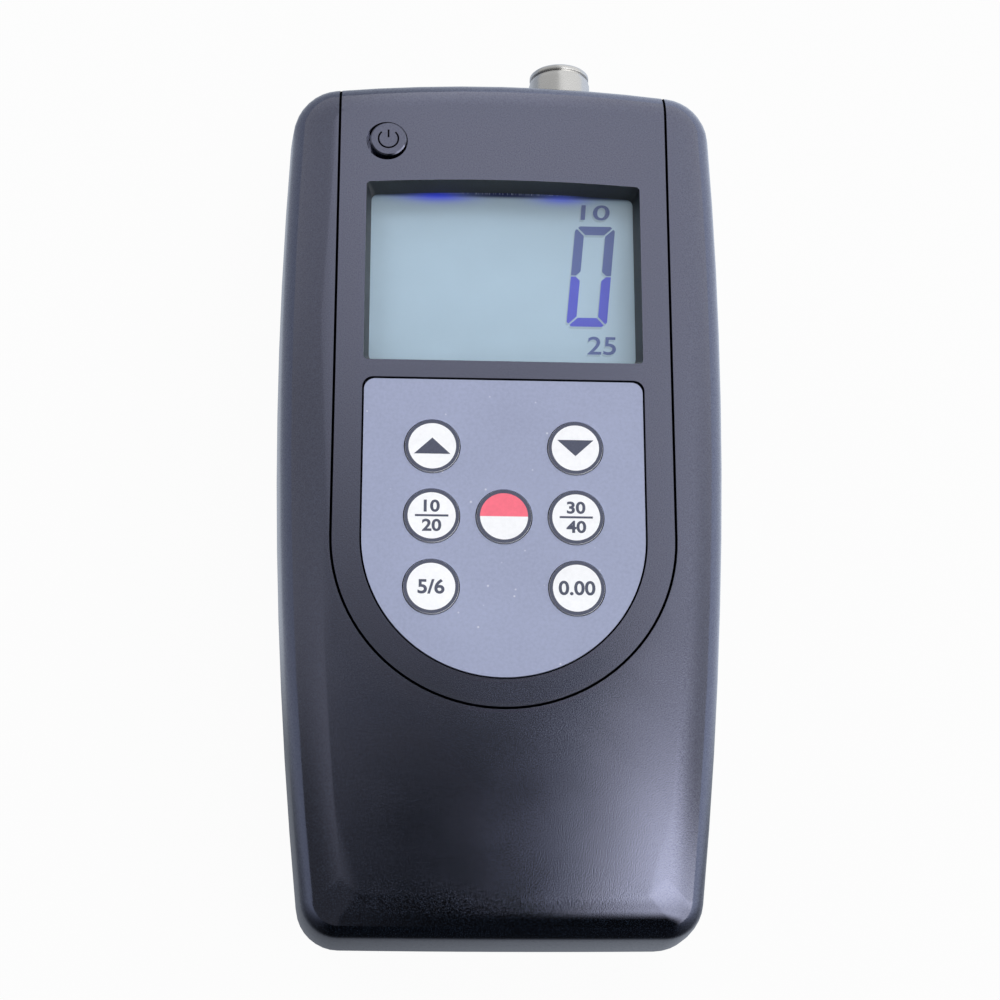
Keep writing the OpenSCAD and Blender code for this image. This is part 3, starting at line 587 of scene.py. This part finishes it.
def circuit_board():
    """Solder resist with fine copper tracks showing through it."""
    material, tree, shader = new_material("Circuit board")
    place = node(tree, "ShaderNodeTexCoord").outputs["Object"]
    tracks = node(tree, "ShaderNodeTexBrick", {
        "Vector": place, "Scale": 260.0, "Mortar Size": 0.06, "Color1": (0.012, 0.1, 0.05, 1.0),
        "Color2": (0.014, 0.12, 0.055, 1.0), "Mortar": (0.03, 0.19, 0.09, 1.0)})
    cloud = node(tree, "ShaderNodeTexNoise", {"Vector": place, "Scale": 500.0, "Detail": 3.0})
    tree.links.new(tracks.outputs["Color"], shader.inputs["Base Color"])
    tree.links.new(spread(tree, cloud.outputs["Fac"], 0.3, 0.7, 0.25, 0.4), shader.inputs["Roughness"])
    bump = node(tree, "ShaderNodeBump", {"Height": tracks.outputs["Fac"], "Distance": 0.00002})
    tree.links.new(bump.outputs["Normal"], shader.inputs["Normal"])
    return material


def finish_node(name, material):
    """Gives a solid that keeps its shape its finish."""
    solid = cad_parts[name]
    if not solid.material_slots:
        solid.data.materials.append(material)
    for place in solid.material_slots:
        place.material = material


# Faces that get painted shade, and edges that get rounded


def outside(spot, box):
    """How far a point lies outside a tongue with a round lower end, in plan."""
    low, high = box
    radius = (high[0] - low[0]) / 2.0
    middle, end_y = (low[0] + high[0]) / 2.0, low[1] + radius
    if spot.y < end_y:
        return math.hypot(spot.x - middle, spot.y - end_y) - radius
    return max(abs(spot.x - middle) - radius, spot.y - high[1])


def in_seam(face):
    """True for the upright walls and the floor of an open seam in the front, which get painted shade."""
    if not PANEL_SEAT - 0.05 * MM < face.center.z < FRONT_Z - 0.25 * MM:
        return False
    straight = face.center.y > PANEL_BOX[0][1] + (PANEL_BOX[1][0] - PANEL_BOX[0][0]) / 2.0
    upright = abs(face.normal.x) > 0.7 if straight else abs(face.normal.z) < 0.2
    return upright or face.normal.z > 0.999


def in_film_pocket(face):
    """True for the floor and walls of the pocket the keypad film lies in, which get painted shade."""
    return PANEL_SEAT < face.center.z < FRONT_Z - 0.1 * MM and outside(face.center, FILM_BOX) < 0.5 * MM


def near_front(edge):
    """True for an edge on the front face."""
    return all(v.co.z > FRONT_Z - NEAR for v in edge.verts)


def on_split(edge):
    """True for an outer edge along the joint of the two housing halves."""
    return all(abs(v.co.z - SPLIT_Z) < NEAR for v in edge.verts)


def on_back(edge):
    """True for an edge on the flat back."""
    return all(v.co.z < NEAR for v in edge.verts)


# Operators


class GAUGE_OT_housing(bpy.types.Operator):
    """Moulds the two housing halves, the front panel and the battery door"""

    bl_idname = "gauge.housing"
    bl_label = "Housing"

    def execute(self, context):
        look = context.scene.gauge_finish
        plastic, panel = (
            grained(name, look.housing, look.grain, 8.0, 0.000005, look.housing_gloss, gloss=0.8, IOR=2.03,
                    Specular_IOR_Level=1.0, Specular_Tint=look.sheen, Coat_Roughness=look.housing_gloss)
            for name in ("Housing plastic", "Panel plastic"))
        # Painted shade: a near-black matte with little reflection goes on the walls and floor of the open seams
        # and the film pocket, where shade falls; the engraved power sign takes the same dark matte.
        groove_shade_and_sign = grained("Groove shade and sign", (0.003, 0.0035, 0.008, 1.0), look.grain, 0.5, 0.000004, 0.7,
                         Specular_IOR_Level=0.1)
        shell = dressed("front_shell", "front_shell_skin", FIXED, plastic,
                        lambda edge: near_front(edge) or on_split(edge), look.edge_round)
        # Painted shade on the walls and floor of the open seam around the panel.
        second_material(shell, groove_shade_and_sign, lambda face: in_seam(face) and outside(face.center, PANEL_BOX) < 0.6 * MM)
        dressed("rear_shell", "rear_shell_skin", FIXED, plastic,
                lambda edge: on_split(edge) or on_back(edge), look.edge_round)
        insert = dressed("front_panel", "front_panel_skin", FIXED, panel)
        matt = grained("Recess plastic", (0.007, 0.011, 0.017, 1.0), look.grain, 0.9, 0.000008, 0.5,
                       Specular_IOR_Level=0.9)
        second_material(insert, matt, self.sunk)
        # Painted shade in the film pocket and on the panel's side of the seam.
        second_material(insert, groove_shade_and_sign, lambda face: in_film_pocket(face) or (
            in_seam(face) and outside(face.center, PANEL_BOX) > -0.2 * MM))
        dressed("battery_door", "battery_door_skin", "battery_door_body", plastic,
                on_back, look.edge_round)
        low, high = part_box("power_button")
        cap = dressed("power_button", "power_button_skin", "power_button_body", plastic)
        middle = Vector(((low[0] + high[0]) / 2.0, (low[1] + high[1]) / 2.0))
        second_material(cap, groove_shade_and_sign, lambda face: (
            high[2] - 0.5 * MM < face.center.z < high[2] - 0.05 * MM
            and (face.center.xy - middle).length < 2.1 * MM))
        return {"FINISHED"}

    def sunk(self, face):
        """True for a face on the walls of the display's sunk frame."""
        spot = face.center
        return (PANE_TOP - 0.2 * MM < spot.z < FRONT_Z - 0.25 * MM and abs(spot.x) < GLASS_HIGH[0] + 1.0 * MM
                and GLASS_LOW[1] - 1.0 * MM < spot.y < GLASS_HIGH[1] + 1.0 * MM)


class GAUGE_OT_keypad(bpy.types.Operator):
    """Prints the keypad film and its seven keys"""

    bl_idname = "gauge.keypad"
    bl_label = "Keypad"

    def execute(self, context):
        look = context.scene.gauge_finish
        film = grained("Keypad film", look.film, 0.0005, 0.05, 0.000003, 0.42, specks=0.55)
        white = grained("Key white", look.key_white, 0.0006, 0.03, 0.000003, 0.38)
        red = grained("Key red", look.key_red, 0.0006, 0.04, 0.000003, 0.38)
        ink = grained("Key ink", look.ink, 0.0002, 0.12, 0.000002, 0.4)
        dressed("keypad_overlay", "keypad_film", FIXED, film)
        for name in ROUND_KEYS:
            low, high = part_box(name)
            centre = ((low[0] + high[0]) / 2.0, (low[1] + high[1]) / 2.0)
            self.cap(look, name, centre, high[2], white, ink)
            self.sign(look, name, centre, high[2], red, ink)
        return {"FINISHED"}

    def cap(self, look, name, centre, top, white, ink):
        """The key itself, kept as its solid with a rounded rim, and its printed ring."""
        body = name + "_body"
        dressed(name, name + "_cap", body, white,
                lambda edge: all(v.co.z > top - NEAR for v in edge.verts), 0.08 * MM)
        inner, slope = look.ring_outer - look.ring_width, 0.02 * MM
        bm = lathe(((inner, top), (look.ring_outer, top), (look.ring_outer - slope, top + PRINT),
                    (inner + slope, top + PRINT)), centre)
        add_piece(name + "_ring", bm, body, ink)

    def sign(self, look, name, centre, top, red, ink):
        """The sign printed on one key."""
        body, slot = name + "_body", "key_white"
        x, y = centre
        high = top + PRINT
        if name in ("key_up", "key_down"):
            way = 1.0 if name == "key_up" else -1.0
            corners = [(x - 2.75 * MM, y - way * 1.25 * MM), (x + 2.75 * MM, y - way * 1.25 * MM),
                       (x, y + way * 1.3 * MM)]
            add_piece(name + "_arrow", plate([corners], top, high), body, ink)
        elif name == "key_calibrate":
            reach = look.ring_outer - look.ring_width + 0.01 * MM
            arc = [(x + reach * math.cos(math.pi * i / 48.0), y + reach * math.sin(math.pi * i / 48.0))
                   for i in range(49)]
            add_piece(name + "_red", plate([arc], top, top + THIN), body, red)
        elif name in ("key_units", "key_metal"):
            upper, lower = ("10", "20") if name == "key_units" else ("30", "40")
            bar = [(x - 2.5 * MM, y - 0.16 * MM), (x + 2.5 * MM, y - 0.16 * MM),
                   (x + 2.5 * MM, y + 0.16 * MM), (x - 2.5 * MM, y + 0.16 * MM)]
            add_piece(name + "_bar", plate([bar], top, high), body, ink)
            for part, text, rise in (("_upper", upper, 1.5), ("_lower", lower, -1.5)):
                mesh = figures(text, 1.75 * MM, (x, y + rise * MM), top, PRINT, 1.15, 0.00007)
                place_piece(name + part, mesh, body, ink)
        else:
            text = "5/6" if name == "key_mode" else "0.00"
            mesh = figures(text, 2.05 * MM, (x, y), top, PRINT, 1.08, 0.00007)
            place_piece(name + "_figures", mesh, body, ink)


class GAUGE_OT_display(bpy.types.Operator):
    """Lights the display and draws its digit behind the clear pane"""

    bl_idname = "gauge.display"
    bl_label = "Display"

    def execute(self, context):
        look = context.scene.gauge_display
        finish_node("display_glass", lit_field(look))
        finish_node("display_window", clear_pane())
        finish_node("display_bezel", grained(
            "Bezel plastic", (0.012, 0.012, 0.014, 1.0), 0.0003, 0.25, 0.00001, 0.5))
        finish_node("backlight", grained("Light guide", (0.72, 0.78, 0.84, 1.0), 0.0008, 0.05, 0.000004, 0.3,
                                         Transmission_Weight=0.2))
        finish_node("contact_strips", grained("Elastomer", (0.16, 0.11, 0.1, 1.0), 0.0002, 0.3, 0.00001, 0.7))
        mark, lit = (
            grained(name, colour, 0.0003, 0.06, 0.000001, 0.4, Emission_Color=colour, Emission_Strength=0.2)
            for name, colour in (("Segments", look.mark), ("Segments lit", look.mark_lit)))
        # Painted shadow: darker copies of the segments and figures, offset down and to the left, stand for the
        # shadow they cast on the display's back.
        segment_shadow_tone = tuple(0.82 * c for c in look.field[:3]) + (1.0,)
        painted_segment_shadow = grained("Segment shadow", segment_shadow_tone, 0.0004, 0.04, 0.000001, 0.4,
                        Emission_Color=segment_shadow_tone, Emission_Strength=0.2)
        top = GLASS_HIGH[2]
        plain, lower = self.digit(look)
        # Outlines of the painted segment shadow.
        soft = [[(x - 0.2 * MM, y - 0.4 * MM) for x, y in outline] for outline in plain + lower]
        add_piece("digit_shadow", plate(soft, top, top + 0.004 * MM), FIXED, painted_segment_shadow)
        add_piece("digit_upper", plate(plain, top, top + THIN), FIXED, mark)
        add_piece("digit_lower", plate(lower, top, top + THIN), FIXED, lit)
        for name, text, size, centre, stretch in (
                ("mark_upper", "10", 2.5 * MM, (MID_X + 14.8 * MM, MID_Y + 11.7 * MM), 1.6),
                ("mark_lower", "25", 2.9 * MM, (MID_X + 15.5 * MM, MID_Y - 10.9 * MM), 1.15)):
            # Painted shadow of the figures, offset down and to the left.
            behind = (centre[0] - 0.2 * MM, centre[1] - 0.35 * MM)
            place_piece(name + "_shadow", figures(text, size, behind, top, 0.004 * MM, stretch, 0.00004, 0.05),
                        FIXED, painted_segment_shadow)
            place_piece(name, figures(text, size, centre, top, THIN, stretch, 0.00004, 0.05),
                        FIXED, mark)
        return {"FINISHED"}

    def digit(self, look):
        """Outlines of the six driven segments of a nought: the upper ones, then the lower ones."""
        wide, tall, stroke, gap = look.digit_width, look.digit_height, look.stroke, 0.1 * MM
        half, cut = tall / 2.0, 0.75 * MM
        lean = math.tan(look.slant)
        corner = (MID_X + 10.0 * MM, MID_Y - 7.75 * MM)

        def leaning(points):
            return [(corner[0] + x + y * lean, corner[1] + y) for x, y in points]

        foot = [(cut / 2.0 + gap, cut / 2.0 - gap), (cut, 0.0), (wide - cut, 0.0),
                (wide - cut / 2.0 - gap, cut / 2.0 - gap), (wide - stroke - gap, stroke - gap),
                (stroke + gap, stroke - gap)]
        side = [(cut / 2.0 - gap, cut / 2.0 + gap), (stroke - gap, stroke + gap),
                (stroke - gap, half - stroke / 2.0), (stroke / 2.0, half - gap), (0.0, half - gap), (0.0, cut)]
        other = [(wide - x, y) for x, y in side][::-1]
        low = [leaning(shape) for shape in (foot, side, other)]
        high = [leaning([(x, tall - y) for x, y in shape][::-1]) for shape in (foot, side, other)]
        return high, low


class GAUGE_OT_socket(bpy.types.Operator):
    """Finishes the probe socket"""

    bl_idname = "gauge.socket"
    bl_label = "Probe socket"

    def execute(self, context):
        look = context.scene.gauge_finish
        metal = turned("Socket metal", look.socket, 0.00014, 0.05, 0.26)
        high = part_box("socket_shell")[1]
        dressed("socket_shell", "socket_shell_skin", FIXED, metal,
                lambda edge: all(v.co.y > high[1] - 6.0 * MM for v in edge.verts), 0.08 * MM)
        finish_node("socket_nut", metal)
        finish_node("socket_insert", grained("Insulator", (0.02, 0.02, 0.022, 1.0), 0.0004, 0.2, 0.000006, 0.45))
        finish_node("socket_contacts", turned("Gilt contact", (0.8, 0.56, 0.22, 1.0), 0.0001, 0.06, 0.25))
        return {"FINISHED"}


class GAUGE_OT_power_supply(bpy.types.Operator):
    """Finishes the battery cells and their contacts"""

    bl_idname = "gauge.power_supply"
    bl_label = "Power supply"

    def execute(self, context):
        sleeve = banded_cell()
        for name in ("cell_1", "cell_2", "cell_3", "cell_4"):
            finish_node(name, sleeve)
        steel = turned("Contact steel", (0.62, 0.62, 0.62, 1.0), 0.0003, 0.08, 0.3)
        dressed("spring_contacts", "spring_contacts_wire", FIXED, steel, sharp=60.0)
        finish_node("plate_contacts", steel)
        return {"FINISHED"}


class GAUGE_OT_electronics(bpy.types.Operator):
    """Finishes the circuit board, its key domes and its switch"""

    bl_idname = "gauge.electronics"
    bl_label = "Electronics"

    def execute(self, context):
        finish_node("main_board", circuit_board())
        finish_node("key_domes", turned("Dome steel", (0.66, 0.66, 0.65, 1.0), 0.0002, 0.05, 0.28))
        finish_node("power_switch", grained("Switch body", (0.03, 0.03, 0.033, 1.0), 0.0003, 0.2, 0.000008, 0.5))
        return {"FINISHED"}


class GAUGE_OT_fasteners(bpy.types.Operator):
    """Finishes the case and board screws"""

    bl_idname = "gauge.fasteners"
    bl_label = "Fasteners"

    def execute(self, context):
        zinc = turned("Zinc plate", (0.5, 0.5, 0.5, 1.0), 0.00025, 0.12, 0.32)
        for name in ("case_screws", "board_screws"):
            dressed(name, name + "_plated", FIXED, zinc)
        return {"FINISHED"}


class GAUGE_OT_stage(bpy.types.Operator):
    """Sets the floor, the light and the camera"""

    bl_idname = "gauge.stage"
    bl_label = "Stage"

    def execute(self, context):
        look = context.scene.gauge_stage
        self.floor()
        self.world(context, look)
        for name, side in (("Left fill lamp", -1.0), ("Right fill lamp", 1.0)):
            self.lamp(context, name, look.fill_power, Vector((side * 0.55, 0.68, 0.51)))
        self.camera(context, look)
        context.scene.view_settings.view_transform = "Standard"
        return {"FINISHED"}

    def floor(self):
        """A wide pale floor that looks white, keeps the object's shadow and is clear from below."""
        bm = bmesh.new()
        bmesh.ops.create_grid(bm, x_segments=24, y_segments=24, size=3.0)
        mesh = bpy.data.meshes.new("floor")
        bm.to_mesh(mesh)
        bm.free()
        mesh.transform(Matrix.Translation((0.0, 0.0, -0.0006)))
        ground = bpy.data.objects.new("floor", mesh)
        bpy.context.scene.collection.objects.link(ground)
        material, tree, shader = new_material("Pale floor")
        place = node(tree, "ShaderNodeTexCoord").outputs["Object"]
        cloud = node(tree, "ShaderNodeTexNoise", {"Vector": place, "Scale": 3.0})
        tone = spread(tree, cloud.outputs["Fac"], 0.3, 0.7, 0.43, 0.47)
        tree.links.new(node(tree, "ShaderNodeCombineColor", {0: tone, 1: tone, 2: tone}).outputs[0],
                       shader.inputs["Base Color"])
        shader.inputs["Roughness"].default_value = 0.9
        share, bright, seen = self.seen(tree, place)
        tint = mix_colours(tree, seen, (0.8, 0.87, 1.0, 1.0), (1.0, 1.0, 1.0, 1.0))
        white = node(tree, "ShaderNodeEmission", {"Color": tint, "Strength": bright})
        both = node(tree, "ShaderNodeMixShader", {0: share, 1: shader.outputs["BSDF"], 2: white.outputs[0]})
        below = node(tree, "ShaderNodeNewGeometry").outputs["Backfacing"]
        clear = node(tree, "ShaderNodeBsdfTransparent")
        sided = node(tree, "ShaderNodeMixShader", {0: below, 1: both.outputs[0], 2: clear.outputs[0]})
        to_surface(tree, sided)
        mesh.materials.append(material)

    def seen(self, tree, place):
        """Share and strength of the floor's own white: full to the camera, dimmer in reflections and in front."""
        rays = node(tree, "ShaderNodeLightPath")
        mirrored = math_node(tree, "MAXIMUM", rays.outputs["Is Glossy Ray"], rays.outputs["Is Transmission Ray"])
        spot = node(tree, "ShaderNodeSeparateXYZ", {0: place})
        reach = node(tree, "ShaderNodeVectorMath", {0: place}, operation="LENGTH").outputs["Value"]
        bearing = math_node(tree, "DIVIDE", spot.outputs["Y"], reach)
        right = spread(tree, spot.outputs["X"], -0.06, 0.06, 0.45, 0.9, smooth=True)
        back = math_node(
            tree, "MAXIMUM", spread(tree, bearing, -1.0, -0.3, 0.0, 1.0, smooth=True),
            spread(tree, spot.outputs["Y"], -0.09, -0.06, 0.02, 0.42, smooth=True))
        dim = math_node(tree, "MULTIPLY", right, back)
        share = math_node(
            tree, "MAXIMUM", math_node(tree, "MULTIPLY", rays.outputs["Is Camera Ray"], 0.96), mirrored)
        return share, math_node(tree, "MAXIMUM", rays.outputs["Is Camera Ray"], dim), rays.outputs["Is Camera Ray"]

    def world(self, context, look):
        """White to the camera; otherwise a pale dome on the right and at the back, with a bright strip."""
        world = bpy.data.worlds.new("Studio")
        context.scene.world = world
        world.use_nodes = True
        tree = world.node_tree
        tree.nodes.clear()
        way = node(tree, "ShaderNodeSeparateXYZ", {0: node(tree, "ShaderNodeTexCoord").outputs["Generated"]})
        x, y = way.outputs["X"], way.outputs["Y"]
        ahead = spread(tree, y, -0.9, -0.6, 0.0, 1.0, smooth=True)
        right = product(
            tree, spread(tree, x, 0.081, 0.133, 0.0, 1.0, smooth=True), ahead,
            spread(tree, x, 0.4, 1.0, 1.0, 0.65, smooth=True))
        back = product(
            tree, spread(tree, y, 0.1, 0.44, 0.0, 1.0, smooth=True),
            spread(tree, y, 0.5, 1.0, 1.0, 1.15, smooth=True), spread(tree, x, -0.12, 0.0, 0.6, 1.0, smooth=True))
        dome = math_node(tree, "SUBTRACT", math_node(tree, "ADD", right, back), product(tree, right, back))
        slant = math_node(tree, "ADD", y, math_node(tree, "MULTIPLY", x, 0.15))
        strip = product(
            tree, spread(tree, x, 0.085, 0.135, 0.0, look.patch, smooth=True), ahead,
            spread(tree, slant, 0.12, 0.22, 1.0, 0.0, smooth=True),
            spread(tree, x, 0.3, 1.0, 1.0, 0.85, smooth=True), spread(tree, y, -0.5, 0.1, 0.5, 1.0, smooth=True))
        left = product(
            tree, spread(tree, x, -0.12, 0.03, look.left, 0.0, smooth=True),
            spread(tree, y, 0.02, 0.2, 0.25, 1.0, smooth=True))
        level = math_node(tree, "MAXIMUM", math_node(tree, "MULTIPLY", dome, look.dome), left)
        level = math_node(tree, "ADD", math_node(tree, "ADD", level, strip), look.sky)
        soft = node(tree, "ShaderNodeBackground", {"Color": (0.98, 0.99, 1.0, 1.0), "Strength": level})
        white = node(tree, "ShaderNodeBackground", {"Color": (1.0, 1.0, 1.0, 1.0), "Strength": 1.0})
        rays = node(tree, "ShaderNodeLightPath")
        both = node(tree, "ShaderNodeMixShader", {
            0: rays.outputs["Is Camera Ray"], 1: soft.outputs[0], 2: white.outputs[0]})
        node(tree, "ShaderNodeOutputWorld", {"Surface": both.outputs[0]})

    def lamp(self, context, name, power, place):
        """A soft square lamp that faces the gauge and isn't mirrored in it."""
        light = bpy.data.lights.new(name, "AREA")
        light.size, light.energy = 0.5, power
        lamp = bpy.data.objects.new(name, light)
        lamp.location = place
        lamp.rotation_euler = place.to_track_quat("Z", "Y").to_euler()
        lamp.visible_glossy = False
        context.scene.collection.objects.link(lamp)

    def camera(self, context, look):
        """The camera at the photograph's angle."""
        data = bpy.data.cameras.new("Camera")
        data.lens, data.sensor_width, data.sensor_fit = look.lens, 36.0, "HORIZONTAL"
        data.clip_start = 0.01
        camera = bpy.data.objects.new("Camera", data)
        turn = (Matrix.Rotation(look.azimuth, 4, "Z") @ Matrix.Rotation(look.tilt, 4, "X")
                @ Matrix.Rotation(look.roll, 4, "Z"))
        back = turn @ Vector((0.0, 0.0, 1.0))
        camera.matrix_world = Matrix.Translation(Vector(look.aim) + back * look.distance) @ turn
        context.scene.collection.objects.link(camera)
        context.scene.camera = camera


STEPS = (
    GAUGE_OT_housing, GAUGE_OT_keypad, GAUGE_OT_display, GAUGE_OT_socket, GAUGE_OT_power_supply,
    GAUGE_OT_electronics, GAUGE_OT_fasteners, GAUGE_OT_stage)


class GAUGE_PT_dresser(bpy.types.Panel):
    """Lists the finishing steps of the gauge"""

    bl_idname = "GAUGE_PT_dresser"
    bl_label = "Coating gauge"
    bl_space_type = "VIEW_3D"
    bl_region_type = "UI"
    bl_category = "Gauge"

    def draw(self, context):
        for step in STEPS:
            self.layout.operator(step.bl_idname)
        for group in (context.scene.gauge_finish, context.scene.gauge_display, context.scene.gauge_stage):
            box = self.layout.box()
            for key in group.bl_rna.properties.keys():
                if key not in ("rna_type", "name"):
                    box.prop(group, key)


CLASSES = (GaugeFinish, GaugeDisplay, GaugeStage) + STEPS + (GAUGE_PT_dresser,)


def register():
    """Registers the settings, the steps and the panel."""
    for cls in CLASSES:
        bpy.utils.register_class(cls)
    bpy.types.Scene.gauge_finish = bpy.props.PointerProperty(type=GaugeFinish)
    bpy.types.Scene.gauge_display = bpy.props.PointerProperty(type=GaugeDisplay)
    bpy.types.Scene.gauge_stage = bpy.props.PointerProperty(type=GaugeStage)


def unregister():
    """Removes what register added."""
    del bpy.types.Scene.gauge_stage
    del bpy.types.Scene.gauge_display
    del bpy.types.Scene.gauge_finish
    for cls in reversed(CLASSES):
        bpy.utils.unregister_class(cls)


def main():
    """Runs every step in order."""
    register()
    bpy.ops.gauge.housing()
    bpy.ops.gauge.keypad()
    bpy.ops.gauge.display()
    bpy.ops.gauge.socket()
    bpy.ops.gauge.power_supply()
    bpy.ops.gauge.electronics()
    bpy.ops.gauge.fasteners()
    bpy.ops.gauge.stage()


if __name__ == "__main__":
    main()
